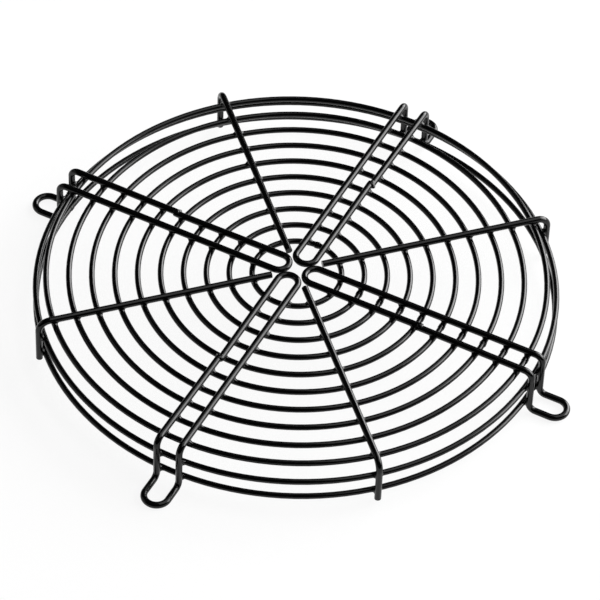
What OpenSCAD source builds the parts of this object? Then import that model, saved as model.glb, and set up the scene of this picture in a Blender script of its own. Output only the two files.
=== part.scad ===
/* [Face rings] */
// Diameter of the innermost ring, wire centre to wire centre
inner_ring_d = 39.2; // [37:0.2:42]
// Spacing of the face rings, wire centre to wire centre
ring_pitch = 10; // [9.5:0.1:10.5]
// Coated diameter of the ring and rim wire
ring_wire = 2.6; // [2.2:0.1:2.8]

/* [Hairpins and spokes] */
// Coated diameter of the hairpin and spoke wire
rod_wire = 3; // [2.6:0.1:3]
// Depth to which resistance welding sets a spoke into each ring
weld_setdown = 0.2; // [0.1:0.05:0.3]
// Spacing of a hairpin's legs at its inner round end, centre to centre
hairpin_inner_w = 9.4; // [8.4:0.2:9.6]
// Distance from the guard's axis to the tip of each hairpin, to the wire's centre
hairpin_tip_r = 4.4; // [4.2:0.2:6]
// Distance from the guard's axis to the cut inner end of each single spoke
spoke_inner_r = 11.6; // [11:0.2:14]
// Bend radius where a hairpin turns down the side, to the wire's centre
hairpin_bend_r = 3.6; // [3:0.2:5]
// Bend radius where a single spoke turns down the side, to the wire's centre
spoke_bend_r = 5; // [4:0.2:6]

/* [Side rims] */
// Radial gap from the outermost ring to the rims, wire centre to wire centre
rim_step = 4.6; // [3.6:0.1:5]
// Depth to which resistance welding sets a rim into each leg
rim_setdown = 0.4; // [0.1:0.05:0.5]
// Height of the upper rim's centre above the mounting plane
upper_rim_z = 14.7; // [13.6:0.1:15.4]
// Height of the lower rim's centre above the mounting plane
lower_rim_z = 5.5; // [5.3:0.1:7]
// Height of a single spoke's cut lower end above the mounting plane
spoke_end_z = 1.8; // [1:0.2:3]

/* [Eyelet feet] */
// Height of the guard, from the mounting plane to the top of the spokes
guard_h = 25.4; // [24.6:0.2:28]
// Distance between the tips of opposite eyelets, to the wire's centre
eyelet_span = 263.2; // [258:0.2:268]
// Width of the eyelet's round end, wire centre to wire centre
eyelet_w = 10.8; // [10:0.2:11]
// Bend radius where a leg turns out into its eyelet, to the wire's centre
foot_bend_r = 3; // [2.8:0.2:3.8]

/* [Butt welds] */
// Distance from the guard's axis to the butt weld that closes each hairpin
hairpin_weld_r = 62.6; // [62.4:0.2:66]
// Sideways step between a hairpin's two wire ends where they are butt-welded
hairpin_weld_step = 0.9; // [0.4:0.1:1.2]
// Distance from the middle of a hairpin to the butt weld of each ring that it crosses
ring_weld_y = 2.2; // [0:0.2:2.4]
// How far a ring's butt weld stands out of the wire
upset = 0.2; // [0.1:0.05:0.3]
// Length of a ring's butt weld along the wire
upset_len = 1.6; // [1:0.2:2]

/* [Hidden] */
$fn = 48;
ring_count = 10;
coat = [0.06, 0.06, 0.065];
ring_r = ring_wire / 2;
rod_r = rod_wire / 2;
// Every length along a wire is on a 0.01 mm grid, so that its pieces meet exactly
function snap(v) = round(v * 100) / 100;
// Heights of the wires' centres above the mounting plane
foot_z = rod_r;
rod_z = guard_h - rod_r;
ring_z = snap(rod_z - rod_r - ring_r + weld_setdown);
// Radii of the rings, the rims and the legs that the rims are welded into
function ring_radius(k) = inner_ring_d / 2 + (k - 1) * ring_pitch;
rim_radius = ring_radius(ring_count) + rim_step;
leg_radius = rim_radius + ring_r + rod_r - rim_setdown;
// The hairpin in plan: two round ends joined by legs that spread evenly outward
inner_half = hairpin_inner_w / 2;
outer_half = eyelet_w / 2;
inner_c = hairpin_tip_r + inner_half;
outer_c = eyelet_span / 2 - outer_half;
spread = atan((outer_half - inner_half) / (outer_c - inner_c));
leg_y = inner_half + (leg_radius - inner_c) * tan(spread);
leg_x = snap(sqrt(leg_radius * leg_radius - leg_y * leg_y));
// The welded leg's inner part turns toward the hairpin's middle, so that the wire ends miss by the step
welded_spread = spread - atan(hairpin_weld_step / (hairpin_weld_r - inner_c));
// Each wire end is a dome whose centre stops this far short of the weld's middle
end_gap = 0.3;

// A ring of wire lying flat at height z
module hoop(radius, z, wire_r) {
  translate([0, 0, z]) rotate_extrude() translate([radius, 0]) circle(r = wire_r);
}

// The raised bead where a ring's two ends are butt-welded, at azimuth a
module hoop_bead(radius, z, a) {
  half = upset_len * 90 / PI / radius;
  rotate([0, 0, a - half]) translate([0, 0, z])
    rotate_extrude(angle = 2 * half) translate([radius, 0]) circle(r = ring_r + upset);
}

// Straight wire along X, from x0 to x1
module run(x0, x1, z) {
  translate([x0, 0, z]) rotate([0, 90, 0]) cylinder(r = rod_r, h = x1 - x0);
}

// Straight wire standing upright, from z0 to z1
module post(x, z0, z1) {
  translate([x, 0, z0]) cylinder(r = rod_r, h = z1 - z0);
}

// A quarter bend in the leg's own upright plane, about [x, z]
module bend(x, z, radius, from) {
  translate([x, 0, z]) rotate([90, 0, 0])
    rotate_extrude(angle = 90, start = from) translate([radius, 0]) circle(r = rod_r);
}

// Half of a round end in the plane of height z, run a little past the hairpin's middle
module round_end(x, z, half, from) {
  translate([x, -half, z])
    rotate_extrude(angle = 100, start = from) translate([half, 0]) circle(r = rod_r);
}

// Places a leg's own upright plane, turned about the middle of the hairpin's inner round end
module leg_plane(turn) {
  translate([inner_c, 0, 0]) rotate([0, 0, turn]) translate([-inner_c, inner_half, 0]) children();
}

// Removes what a round end runs past the hairpin's middle
module one_side() {
  difference() {
    children();
    translate([0, -2 * eyelet_w, -1]) cube([eyelet_span, 2 * eyelet_w, guard_h + 2]);
  }
}

// The part of a leg from x0 along the face, down the side and out into the eyelet
module outer_leg(x0) {
  run(x0, leg_x - hairpin_bend_r, rod_z);
  bend(leg_x - hairpin_bend_r, rod_z - hairpin_bend_r, hairpin_bend_r, 0);
  post(leg_x, foot_z + foot_bend_r, rod_z - hairpin_bend_r);
  bend(leg_x + foot_bend_r, foot_z + foot_bend_r, foot_bend_r, 180);
  run(leg_x + foot_bend_r, outer_c, foot_z);
  round_end(outer_c, foot_z, outer_half, -10);
}

// The side of a hairpin whose leg is one length of wire
module plain_side() {
  one_side() leg_plane(spread) {
    round_end(inner_c, rod_z, inner_half, 90);
    outer_leg(inner_c);
  }
}

// The side of a hairpin whose leg holds the butt weld, seen as the mirror of the plain side
module welded_side() {
  one_side() {
    leg_plane(welded_spread) {
      round_end(inner_c, rod_z, inner_half, 90);
      run(inner_c, hairpin_weld_r - end_gap, rod_z);
      wire_end(hairpin_weld_r - end_gap);
    }
    leg_plane(spread) {
      outer_leg(hairpin_weld_r + end_gap);
      wire_end(hairpin_weld_r + end_gap);
    }
  }
}

// The domed end of a wire at height rod_z
module wire_end(x) {
  translate([x, 0, rod_z]) sphere(r = rod_r);
}

// Every ring and rim, as the welds press them into the wires that cross them
module weld_seats() {
  for (k = [1:ring_count]) hoop(ring_radius(k), ring_z, ring_r);
  hoop(rim_radius, upper_rim_z, ring_r);
  hoop(rim_radius, lower_rim_z, ring_r);
}

// Hairpin i: a closed loop of wire, butt-welded in its clockwise leg
module hairpin(i) {
  color(coat) rotate([0, 0, 90 * (i - 1)]) difference() {
    union() {
      plain_side();
      mirror([0, 1, 0]) welded_side();
    }
    weld_seats();
  }
}

// Spoke i: one wire with square-cut ends, bent down outside the rims
module spoke(i) {
  color(coat) rotate([0, 0, 90 * i - 45]) difference() {
    union() {
      run(spoke_inner_r, leg_radius - spoke_bend_r, rod_z);
      bend(leg_radius - spoke_bend_r, rod_z - spoke_bend_r, spoke_bend_r, 0);
      post(leg_radius, spoke_end_z, rod_z - spoke_bend_r);
    }
    weld_seats();
  }
}

// Face ring k, with its butt weld between the legs of a hairpin, the innermost ring's in its own
module ring(k) {
  radius = ring_radius(k);
  color(coat) {
    hoop(radius, ring_z, ring_r);
    hoop_bead(radius, ring_z, k == 1 ? 90 : asin(ring_weld_y / radius));
  }
}

// A side rim, with its butt weld between the legs of a hairpin
module rim(z) {
  color(coat) {
    hoop(rim_radius, z, ring_r);
    hoop_bead(rim_radius, z, 180);
  }
}

ring(1);  // ring_01
ring(2);  // ring_02
ring(3);  // ring_03
ring(4);  // ring_04
ring(5);  // ring_05
ring(6);  // ring_06
ring(7);  // ring_07
ring(8);  // ring_08
ring(9);  // ring_09
ring(10);  // ring_10
rim(upper_rim_z);  // rim_upper
rim(lower_rim_z);  // rim_lower
hairpin(1);  // hairpin_1
hairpin(2);  // hairpin_2
hairpin(3);  // hairpin_3
hairpin(4);  // hairpin_4
spoke(1);  // spoke_1
spoke(2);  // spoke_2
spoke(3);  // spoke_3
spoke(4);  // spoke_4
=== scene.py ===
import math

import bmesh
import bpy
import numpy as np
from mathutils import Matrix, Vector


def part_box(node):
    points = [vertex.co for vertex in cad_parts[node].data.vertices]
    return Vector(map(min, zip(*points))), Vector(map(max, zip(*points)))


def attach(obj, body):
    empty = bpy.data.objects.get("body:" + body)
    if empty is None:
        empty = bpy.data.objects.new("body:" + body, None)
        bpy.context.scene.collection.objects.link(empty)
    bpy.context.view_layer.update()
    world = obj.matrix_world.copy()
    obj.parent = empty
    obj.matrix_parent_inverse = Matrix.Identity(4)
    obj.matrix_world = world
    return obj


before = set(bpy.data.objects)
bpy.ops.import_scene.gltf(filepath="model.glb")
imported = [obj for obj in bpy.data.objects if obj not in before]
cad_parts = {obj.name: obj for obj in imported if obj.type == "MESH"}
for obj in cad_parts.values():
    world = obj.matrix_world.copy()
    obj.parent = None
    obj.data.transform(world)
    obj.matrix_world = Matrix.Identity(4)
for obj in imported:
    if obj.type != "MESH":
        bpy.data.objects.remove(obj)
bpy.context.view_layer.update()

scene = bpy.context.scene
scene.view_settings.view_transform = "Standard"

# ------------------------------------------------------------ the guard's sizes, in metres
MM = 0.001
RINGS = 10
RING_R = 1.3 * MM                       # radius of the ring and rim wire
ROD_R = 1.5 * MM                        # radius of the hairpin and spoke wire
RING_SEAT = 0.2 * MM                    # depth of a ring's seat in the wires across it
RIM_SEAT = 0.4 * MM                     # the same for a rim
RIM_INSET = RING_R + ROD_R - RIM_SEAT   # rim's centre to the centre of the legs outside it
HAIRPIN_TIP_R = 4.4 * MM                # guard's axis to the tip of a hairpin
INNER_HALF = 4.7 * MM                   # half the spacing of a hairpin's legs at its inner end
OUTER_HALF = 5.4 * MM                   # the same at its eyelet
HAIRPIN_WELD_R = 62.6 * MM              # guard's axis to a hairpin's butt weld
HAIRPIN_WELD_STEP = 0.9 * MM            # sideways step between the wire ends there
RING_WELD_Y = 2.2 * MM                  # hairpin's middle to a ring's butt weld


def ring_radius(node):
    """A ring's radius to its wire's centre, from a side where it has no butt weld."""
    low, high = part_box(node)
    return (high[1] if node.startswith("rim") else -low[0]) - RING_R


def mid_z(node):
    """The height of the middle of a node."""
    low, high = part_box(node)
    return (low[2] + high[2]) / 2


RING_Z = mid_z("ring_10")
ROD_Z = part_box("spoke_1")[1][2] - ROD_R
EYELET_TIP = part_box("hairpin_1")[1][0] - ROD_R
INNER_C = HAIRPIN_TIP_R + INNER_HALF    # guard's axis to the middle of a hairpin's inner end
# Angle of a leg to the middle line of its hairpin, and of the welded leg inside its weld
SPREAD = math.atan((OUTER_HALF - INNER_HALF) / (EYELET_TIP - OUTER_HALF - INNER_C))
WELDED_SPREAD = SPREAD - math.atan(HAIRPIN_WELD_STEP / (HAIRPIN_WELD_R - INNER_C))

# ------------------------------------------------------------ camera
CAMERA_TURN = math.radians(25.93)       # the picture's sideways axis, from the guard's +X
CAMERA_ELEVATION = 0.8181               # how far the camera looks down, in radians
CAMERA_ROLL = 0.0410                    # how far the picture is rolled, in radians
CAMERA_DISTANCE = 1.7536                # from the camera to the middle of the face rings
FOCAL = 6.68                            # focal length over the picture's width
SENSOR = 36                             # the picture's width, in millimetres
# The guard's centre in the picture, to the right of its middle and up, over the focal length
AIM_RIGHT = -0.0008
AIM_UP = 0.00663
FAR_CLIP = 30                           # beyond the floor, in metres


def turned(v):
    """A direction given along the picture's sideways axis, away from the viewer and up."""
    c = math.cos(CAMERA_TURN)
    s = math.sin(CAMERA_TURN)
    return Vector((c * v[0] - s * v[1], s * v[0] + c * v[1], v[2]))


def make_camera():
    ce = math.cos(CAMERA_ELEVATION)
    se = math.sin(CAMERA_ELEVATION)
    cr = math.cos(CAMERA_ROLL)
    sr = math.sin(CAMERA_ROLL)
    ahead = turned((0, ce, -se))
    right = turned((1, 0, 0))
    up = turned((0, se, ce))
    x_axis = right * cr + up * sr
    y_axis = up * cr - right * sr
    aim = ahead + x_axis * AIM_RIGHT + y_axis * AIM_UP
    place = Vector((0, 0, RING_Z)) - aim * CAMERA_DISTANCE
    facing = Matrix((x_axis, y_axis, -ahead)).transposed().to_4x4()
    camera = bpy.data.objects.new("camera", bpy.data.cameras.new("camera"))
    scene.collection.objects.link(camera)
    camera.data.sensor_width = SENSOR
    camera.data.lens = FOCAL * SENSOR
    camera.data.clip_end = FAR_CLIP
    camera.matrix_world = Matrix.Translation(place) @ facing
    scene.camera = camera


# ------------------------------------------------------------ materials
COAT_IOR = 1.36
COAT_DARK = (0.0009, 0.0009, 0.0010, 1)
COAT_PALE = (0.0020, 0.0020, 0.0022, 1)
COAT_SPAN = (0.3, 0.75)                 # the drift over which the colour goes from dark to pale
GLOSS_SPAN = (0.25, 0.75)               # the drift over which the roughness rises
# Scale, per metre, and detail of the noise that each feature follows
DRIFT = (90, 4)
PEEL = (900, 3)
GRAIN = (2600, 1)
GRAIN_SHARE = 0.35                      # height of the grain against the orange peel
PEEL_HEIGHT = 0.03 * MM


def new_material(name):
    mat = bpy.data.materials.new(name)
    mat.use_nodes = True
    mat.node_tree.nodes.clear()
    return mat, mat.node_tree.nodes, mat.node_tree.links


def noise_node(nodes, links, vector, scale, detail):
    node = nodes.new("ShaderNodeTexNoise")
    node.inputs["Scale"].default_value = scale
    node.inputs["Detail"].default_value = detail
    links.new(vector, node.inputs["Vector"])
    return node.outputs["Fac"]


def coat_material(name, smooth, rough, bump):
    """Gloss black coat: a faint orange peel, and a gloss and colour that drift along the wire."""
    mat, nodes, links = new_material(name)
    out = nodes.new("ShaderNodeOutputMaterial")
    shader = nodes.new("ShaderNodeBsdfPrincipled")
    shader.inputs["IOR"].default_value = COAT_IOR
    links.new(shader.outputs[0], out.inputs[0])
    place = nodes.new("ShaderNodeTexCoord").outputs["Object"]
    drift = noise_node(nodes, links, place, *DRIFT)
    peel = noise_node(nodes, links, place, *PEEL)
    grain = noise_node(nodes, links, place, *GRAIN)

    ramp = nodes.new("ShaderNodeValToRGB")
    for stop, at, colour in zip(ramp.color_ramp.elements, COAT_SPAN, (COAT_DARK, COAT_PALE)):
        stop.position = at
        stop.color = colour
    links.new(drift, ramp.inputs[0])
    links.new(ramp.outputs[0], shader.inputs["Base Color"])

    gloss = nodes.new("ShaderNodeMapRange")
    gloss.inputs["From Min"].default_value = GLOSS_SPAN[0]
    gloss.inputs["From Max"].default_value = GLOSS_SPAN[1]
    gloss.inputs["To Min"].default_value = smooth
    gloss.inputs["To Max"].default_value = rough
    links.new(drift, gloss.inputs["Value"])
    links.new(gloss.outputs[0], shader.inputs["Roughness"])

    height = nodes.new("ShaderNodeMath")
    height.operation = "MULTIPLY_ADD"
    height.inputs[1].default_value = GRAIN_SHARE
    links.new(grain, height.inputs[0])
    links.new(peel, height.inputs[2])
    bumps = nodes.new("ShaderNodeBump")
    bumps.inputs["Strength"].default_value = bump
    bumps.inputs["Distance"].default_value = PEEL_HEIGHT
    links.new(height.outputs[0], bumps.inputs["Height"])
    links.new(bumps.outputs[0], shader.inputs["Normal"])
    return mat


COAT = coat_material("coated_wire", smooth=0.10, rough=0.17, bump=0.10)
WELD_COAT = coat_material("coated_weld", smooth=0.16, rough=0.26, bump=0.2)


def dress_wires():
    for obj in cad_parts.values():
        obj.data.materials.clear()
        obj.data.materials.append(COAT)


# ------------------------------------------------------------ distances, for points p
UP = np.array([0, 0, 1.0])
TINY = 1e-9                             # keeps a divisor away from 0
WAVES = 4                               # plane waves in a ripple
WAVES_HIGH = 2.4                        # about as high as their sum gets


def line_distance(p, point, along):
    """Distance to the line through a point along a unit vector."""
    d = p - point
    return np.linalg.norm(d - (d @ along)[..., None] * along, axis=-1)


def hoop_distance(p, radius, z):
    """Distance to the circle about the guard's axis at height z."""
    return np.hypot(np.hypot(p[..., 0], p[..., 1]) - radius, p[..., 2] - z)


def pillow(p, axes, half):
    """Rough distance to the surface of an ellipsoid about 0 with its own axes and half sizes."""
    q = p @ axes.T
    near = np.linalg.norm(q / half, axis=-1)
    grad = np.linalg.norm(q / half ** 2, axis=-1)
    return near * (near - 1) / np.maximum(grad, TINY)


def blend(a, b, k):
    """The smaller of two distances, rounded where they meet over a width k."""
    h = np.maximum(k - np.abs(a - b), 0) / k
    return np.minimum(a, b) - h * h * k / 4


def ripple(p, seed, size, height):
    """A smooth uneven field, about as high as given, with lumps of the given size."""
    rng = np.random.default_rng(seed)
    total = 0
    for _ in range(WAVES):
        way = rng.normal(size=3)
        way *= 2 * math.pi / size / np.linalg.norm(way)
        total = total + np.sin(p @ way + rng.uniform(0, 2 * math.pi))
    return total / WAVES_HIGH * height


# ------------------------------------------------------------ closed lumps
AROUND = 48                             # rays in each row
ROWS = 15                               # rows of rays between the two poles
LAST_ROW = 80                           # angle of the last rows from the middle one, in degrees
STEPS = 40                              # steps along each ray


def ray_ways():
    """Directions of a lump's rays: the rows from low to high, then the low and the high pole."""
    tilts = np.linspace(-LAST_ROW, LAST_ROW, ROWS) * math.pi / 180
    turns = np.linspace(0, 2 * math.pi, AROUND, endpoint=False)
    t, a = np.meshgrid(tilts, turns, indexing="ij")
    rows = np.stack([np.cos(t) * np.cos(a), np.cos(t) * np.sin(a), np.sin(t)], -1)
    return np.vstack([rows.reshape(-1, 3), -UP, UP])


def lump_faces():
    """The faces of a lump, whose vertices are in the order of its rays."""
    low_pole = ROWS * AROUND
    high_pole = low_pole + 1
    faces = []
    for row in range(ROWS - 1):
        low = row * AROUND
        high = low + AROUND
        for j in range(AROUND):
            k = (j + 1) % AROUND
            faces.append((low + j, low + k, high + k, high + j))
    for j in range(AROUND):
        k = (j + 1) % AROUND
        faces.append((low_pole, k, j))
        faces.append((high_pole, low_pole - AROUND + j, low_pole - AROUND + k))
    return faces


RAYS = ray_ways()
LUMP_FACES = lump_faces()


def lump(centre, axes, reach, distance):
    """Vertices of a lump: each ray ends where distance rises through 0, or at the reach."""
    limit = 1 / np.linalg.norm(RAYS / reach, axis=1)
    ways = RAYS @ axes
    steps = np.linspace(0, 1, STEPS + 1)
    values = distance(centre + (limit[:, None] * steps)[..., None] * ways[:, None])
    out = values > 0
    out[:, -1] = True
    first = np.maximum(out.argmax(axis=1), 1)
    ray = np.arange(len(RAYS))
    before = values[ray, first - 1]
    after = values[ray, first]
    part = np.where(after > 0, before / np.minimum(before - after, -TINY * MM), 1.0)
    length = limit * (steps[first - 1] + np.clip(part, 0, 1) * (steps[1] - steps[0]))
    return centre + length[:, None] * ways


def make_piece(name, lumps):
    """One visible piece of several lumps."""
    faces = []
    for number in range(len(lumps)):
        base = number * len(RAYS)
        faces += [tuple(base + i for i in face) for face in LUMP_FACES]
    mesh = bpy.data.meshes.new(name)
    mesh.from_pydata(np.vstack(lumps).tolist(), [], faces)
    mesh.polygons.foreach_set("use_smooth", [True] * len(mesh.polygons))
    mesh.materials.append(WELD_COAT)
    mesh.validate()
    piece = bpy.data.objects.new(name, mesh)
    scene.collection.objects.link(piece)
    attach(piece, "root")


# ------------------------------------------------------------ where the wires cross
# Each wire across the rings: its kind, its azimuth in degrees and its side of the hairpin
LEGS = []
for quarter in range(4):
    LEGS.append(("hairpin", 90 * quarter, 1))
    LEGS.append(("hairpin", 90 * quarter, -1))
    LEGS.append(("spoke", 90 * quarter + 45, 0))
LEG_ROUNDS = 6                          # rounds in which leg_at settles on its place


def spin(p, degrees):
    """A point or direction turned about the guard's axis."""
    c = math.cos(math.radians(degrees))
    s = math.sin(math.radians(degrees))
    return np.array([c * p[0] - s * p[1], s * p[0] + c * p[1], p[2]])


def leg_at(kind, turn, side, radius):
    """Where a leg in plan crosses a circle about the guard's axis, and its direction there."""
    if kind == "spoke":
        return spin((radius, 0, 0), turn), spin((1, 0, 0), turn)
    angle = WELDED_SPREAD if side < 0 and radius < HAIRPIN_WELD_R else SPREAD
    y = INNER_HALF
    for _ in range(LEG_ROUNDS):
        x = math.sqrt(radius ** 2 - y ** 2)
        y = INNER_HALF + (x - INNER_C) * math.tan(angle)
    way = (math.cos(angle), side * math.sin(angle), 0)
    return spin((x, side * y, 0), turn), spin(way, turn)


# ------------------------------------------------------------ welds where the wires cross
# Sizes go along the ring, along the wire across it, and from the one to the other
FLASH_HALF = np.array([1.95, 1.45, 0.5]) * MM
FLASH_SCALES = (0.8, 1.15)              # the smallest and the largest
FLASH_STRAY = (0.16 * MM, 0.12 * MM)    # how far its middle strays, along the first two
CROSSING_REACH = np.array([3.1, 2.6, 1.05]) * MM
CREASE = 1.1 * MM                       # width over which the coat fills the crease
FLASH_CREASE = 0.6 * MM
FLASH_LUMPS = 2.2 * MM                  # size and height of its unevenness
FLASH_UNEVEN = 0.07 * MM
CROSSING_SINK = 0.03 * MM               # how far the lump lies below the wires' skin
WELD_SEEDS = {"ring_%02d" % k: k for k in range(1, RINGS + 1)}
WELD_SEEDS["rim_upper"] = 21
WELD_SEEDS["rim_lower"] = 22
SEED_LIMIT = 1 << 30                    # each lump's own seed is drawn below this


def crossing(centre, axes, rod, rod_way, radius, z, rng):
    """The weld between a ring and a wire across it: filled crease and squeezed-out metal."""
    half = FLASH_HALF * rng.uniform(*FLASH_SCALES)
    off = axes[0] * rng.normal(0, FLASH_STRAY[0]) + axes[1] * rng.normal(0, FLASH_STRAY[1])
    seed = rng.integers(SEED_LIMIT)

    def distance(p):
        rod_skin = line_distance(p, rod, rod_way) - ROD_R
        ring_skin = hoop_distance(p, radius, z) - RING_R
        flash = pillow(p - centre - off, axes, half)
        skin = blend(blend(rod_skin, ring_skin, CREASE), flash, FLASH_CREASE)
        return skin + ripple(p, seed, FLASH_LUMPS, FLASH_UNEVEN) + CROSSING_SINK

    return lump(centre, axes, CROSSING_REACH, distance)


def ring_welds(node, seed):
    """All the welds of a ring with the wires over it, or of a rim with the legs outside it."""
    rng = np.random.default_rng(seed)
    radius = ring_radius(node)
    z = mid_z(node)
    lumps = []
    for kind, turn, side in LEGS:
        if node.startswith("rim"):
            place, _ = leg_at(kind, turn, side, radius + RIM_INSET)
            outward = place / np.linalg.norm(place)
            rod = place + UP * z
            way = UP
            centre = outward * (radius + RING_R - RIM_SEAT / 2) + UP * z
            across = outward
        else:
            place, way = leg_at(kind, turn, side, radius)
            outward = place / np.linalg.norm(place)
            rod = place + UP * ROD_Z
            centre = place + UP * (z + RING_R - RING_SEAT / 2)
            across = UP
        along = np.cross(UP, outward)
        axes = np.stack([along, np.cross(across, along), across])
        lumps.append(crossing(centre, axes, rod, way, radius, z, rng))
    make_piece("weld_" + node, lumps)


# ------------------------------------------------------------ butt welds of the rings
# Half of how far the two ends of some rings miss each other
RING_STEPS = {1: 0.28 * MM, 2: 0.15 * MM, 7: 0.12 * MM, 8: 0.32 * MM}
RING_BUTT_SEED = 40
RING_LAP = 0.2 * MM                     # how far each end runs past the middle of the weld
# Sizes go outward, up and along the ring
COLLAR_HALF = np.array([1.52, 1.52, 0.35]) * MM
RING_BUTT_REACH = np.array([2.4, 2.2, 1.3]) * MM
RING_BUTT_CREASE = 0.25 * MM
RING_BUTT_LUMPS = 1.8 * MM              # size and height of its unevenness
RING_BUTT_UNEVEN = 0.06 * MM


def ring_butt(radius, z, angle, step, rng):
    """A ring's butt weld: one end set outward, one inward, and a collar of flash between them."""
    out = spin((1, 0, 0), angle)
    along = spin((0, 1, 0), angle)
    centre = out * radius + UP * z
    axes = np.stack([out, UP, along])
    seed = rng.integers(SEED_LIMIT)

    def distance(p):
        past = (p - centre) @ along
        first = np.maximum(hoop_distance(p, radius + step, z) - RING_R, past - RING_LAP)
        second = np.maximum(hoop_distance(p, radius - step, z) - RING_R, -past - RING_LAP)
        collar = pillow(p - centre, axes, COLLAR_HALF)
        skin = blend(blend(first, second, RING_BUTT_CREASE), collar, RING_BUTT_CREASE)
        return skin + ripple(p, seed, RING_BUTT_LUMPS, RING_BUTT_UNEVEN)

    return lump(centre, axes, RING_BUTT_REACH, distance)


def ring_butts():
    """The butt welds whose ends miss: ring 1's in hairpin_2, and the others' in hairpin_1."""
    rng = np.random.default_rng(RING_BUTT_SEED)
    lumps = []
    for k, step in RING_STEPS.items():
        node = "ring_%02d" % k
        radius = ring_radius(node)
        angle = 90 if k == 1 else math.degrees(math.asin(RING_WELD_Y / radius))
        lumps.append(ring_butt(radius, mid_z(node), angle, step, rng))
    make_piece("ring_butt_welds", lumps)


# ------------------------------------------------------------ butt welds of the hairpins
HAIRPIN_BUTT_SEED = 41
BESIDE = 0.1 * MM                       # how far from the weld each end's own line is taken
HAIRPIN_LAP = 0.8 * MM                  # how far each end runs past the middle of the weld
# Sizes go across the leg, up and along it
BEAD_HALF = np.array([0.75, 0.6, 0.9]) * MM
HAIRPIN_BUTT_REACH = np.array([3.4, 2.2, 2.0]) * MM
BEAD_ASIDE = 1.75 * MM                  # middle of the weld to the middle of its bead, across
BEAD_INWARD = 0.9 * MM                  # the same along the leg, toward the guard's axis
HAIRPIN_BUTT_CREASE = 0.9 * MM
BEAD_CREASE = 0.7 * MM
HAIRPIN_BUTT_LUMPS = 1.8 * MM           # size and height of its unevenness
HAIRPIN_BUTT_UNEVEN = 0.09 * MM
HAIRPIN_BUTT_SINK = 0.05 * MM           # how far the lump lies below the wires' skin


def hairpin_butt(turn, rng):
    """A hairpin's butt weld: two wire ends that miss each other sideways, and a bead of flash."""
    inner, inner_way = leg_at("hairpin", turn, -1, HAIRPIN_WELD_R - BESIDE)
    outer, outer_way = leg_at("hairpin", turn, -1, HAIRPIN_WELD_R + BESIDE)
    centre = (inner + outer) / 2 + UP * ROD_Z
    axes = np.stack([np.cross(UP, outer_way), UP, outer_way])
    seed = rng.integers(SEED_LIMIT)
    bead_at = centre - outer_way * BEAD_INWARD - axes[0] * BEAD_ASIDE

    def distance(p):
        past = (p - centre) @ outer_way
        inner_skin = line_distance(p, inner + UP * ROD_Z, inner_way) - ROD_R
        outer_skin = line_distance(p, outer + UP * ROD_Z, outer_way) - ROD_R
        first = np.maximum(inner_skin, past - HAIRPIN_LAP)
        second = np.maximum(outer_skin, -past - HAIRPIN_LAP)
        bead = pillow(p - bead_at, axes, BEAD_HALF)
        skin = blend(blend(first, second, HAIRPIN_BUTT_CREASE), bead, BEAD_CREASE)
        uneven = ripple(p, seed, HAIRPIN_BUTT_LUMPS, HAIRPIN_BUTT_UNEVEN)
        return skin + uneven + HAIRPIN_BUTT_SINK

    return lump(centre, axes, HAIRPIN_BUTT_REACH, distance)


def hairpin_butts():
    rng = np.random.default_rng(HAIRPIN_BUTT_SEED)
    lumps = []
    for quarter in range(4):
        lumps.append(hairpin_butt(90 * quarter, rng))
    make_piece("hairpin_butt_welds", lumps)


# ------------------------------------------------------------ floor, world and lights
FLOOR_HALF = 6                          # half its width, in metres
FLOOR_DROP = 0.2 * MM                   # keeps the floor clear of the eyelets
FLOOR_COLOUR = (0.92, 0.92, 0.92, 1)
WHITE = (1, 1, 1, 1)
WHITE_SHARE = 0.9                       # of the floor, as the camera and mirror images see it
WORLD_STRENGTH = 0.02                   # a faint light from all round
# name, azimuth and elevation in degrees, distance, width and height in metres, watts
LAMPS = (
    ("key", 27, 26, 2.0, 2.7, 1.5, 108),
    ("key_core", 36, 22, 1.95, 1.1, 0.75, 10),
    ("top", 15, 64, 2.2, 2.6, 1.7, 21),
    ("left", 178, 24, 2.2, 1.3, 1.1, 2.2),
)


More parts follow.
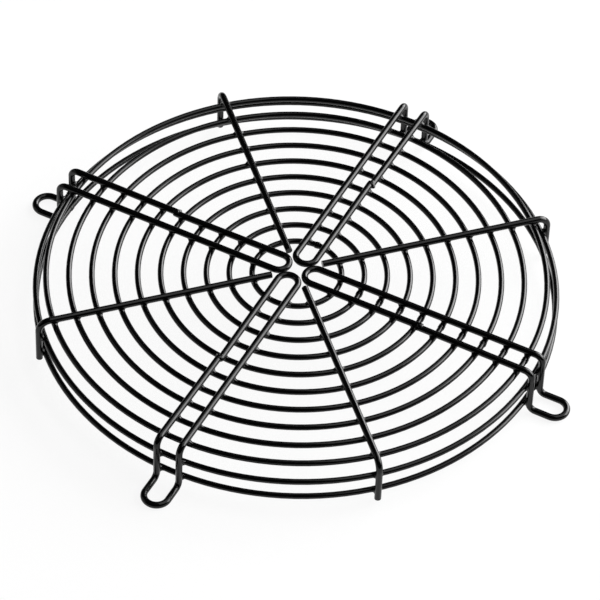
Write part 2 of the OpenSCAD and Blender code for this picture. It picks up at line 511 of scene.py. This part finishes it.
def floor_material():
    """Matte under the lamps, and mostly plain white to the camera and in mirror images."""
    mat, nodes, links = new_material("floor")
    out = nodes.new("ShaderNodeOutputMaterial")
    matte = nodes.new("ShaderNodeBsdfDiffuse")
    matte.inputs[0].default_value = FLOOR_COLOUR
    white = nodes.new("ShaderNodeEmission")
    white.inputs[0].default_value = WHITE
    white.inputs[1].default_value = 1.0
    path = nodes.new("ShaderNodeLightPath")
    seen = path.outputs["Is Camera Ray"]
    for ray in ("Is Glossy Ray", "Is Transmission Ray"):
        either = nodes.new("ShaderNodeMath")
        either.operation = "MAXIMUM"
        links.new(seen, either.inputs[0])
        links.new(path.outputs[ray], either.inputs[1])
        seen = either.outputs[0]
    share = nodes.new("ShaderNodeMath")
    share.operation = "MULTIPLY"
    share.inputs[1].default_value = WHITE_SHARE
    links.new(seen, share.inputs[0])
    mix = nodes.new("ShaderNodeMixShader")
    links.new(share.outputs[0], mix.inputs[0])
    links.new(matte.outputs[0], mix.inputs[1])
    links.new(white.outputs[0], mix.inputs[2])
    links.new(mix.outputs[0], out.inputs[0])
    return mat


def make_floor():
    grid = bmesh.new()
    bmesh.ops.create_grid(grid, x_segments=1, y_segments=1, size=FLOOR_HALF)
    mesh = bpy.data.meshes.new("floor")
    grid.to_mesh(mesh)
    grid.free()
    mesh.materials.append(floor_material())
    floor = bpy.data.objects.new("floor", mesh)
    scene.collection.objects.link(floor)
    floor.location.z = -FLOOR_DROP


def make_world():
    world = bpy.data.worlds.new("studio")
    scene.world = world
    world.use_nodes = True
    back = world.node_tree.nodes["Background"]
    back.inputs[0].default_value = WHITE
    back.inputs[1].default_value = WORLD_STRENGTH


def softbox(name, azimuth, elevation, distance, width, height, power):
    """A lamp facing the guard; azimuth 0 is to the picture's right, 90 is away from the viewer."""
    lamp = bpy.data.lights.new(name, "AREA")
    lamp.shape = "RECTANGLE"
    lamp.size = width
    lamp.size_y = height
    lamp.energy = power
    a = math.radians(azimuth)
    e = math.radians(elevation)
    place = turned((math.cos(e) * math.cos(a), math.cos(e) * math.sin(a), math.sin(e))) * distance
    obj = bpy.data.objects.new(name, lamp)
    scene.collection.objects.link(obj)
    obj.location = place
    obj.rotation_euler = (-place).to_track_quat("-Z", "Y").to_euler()


make_camera()
dress_wires()
for node, seed in WELD_SEEDS.items():
    ring_welds(node, seed)
ring_butts()
hairpin_butts()
make_floor()
make_world()
for lamp in LAMPS:
    softbox(*lamp)
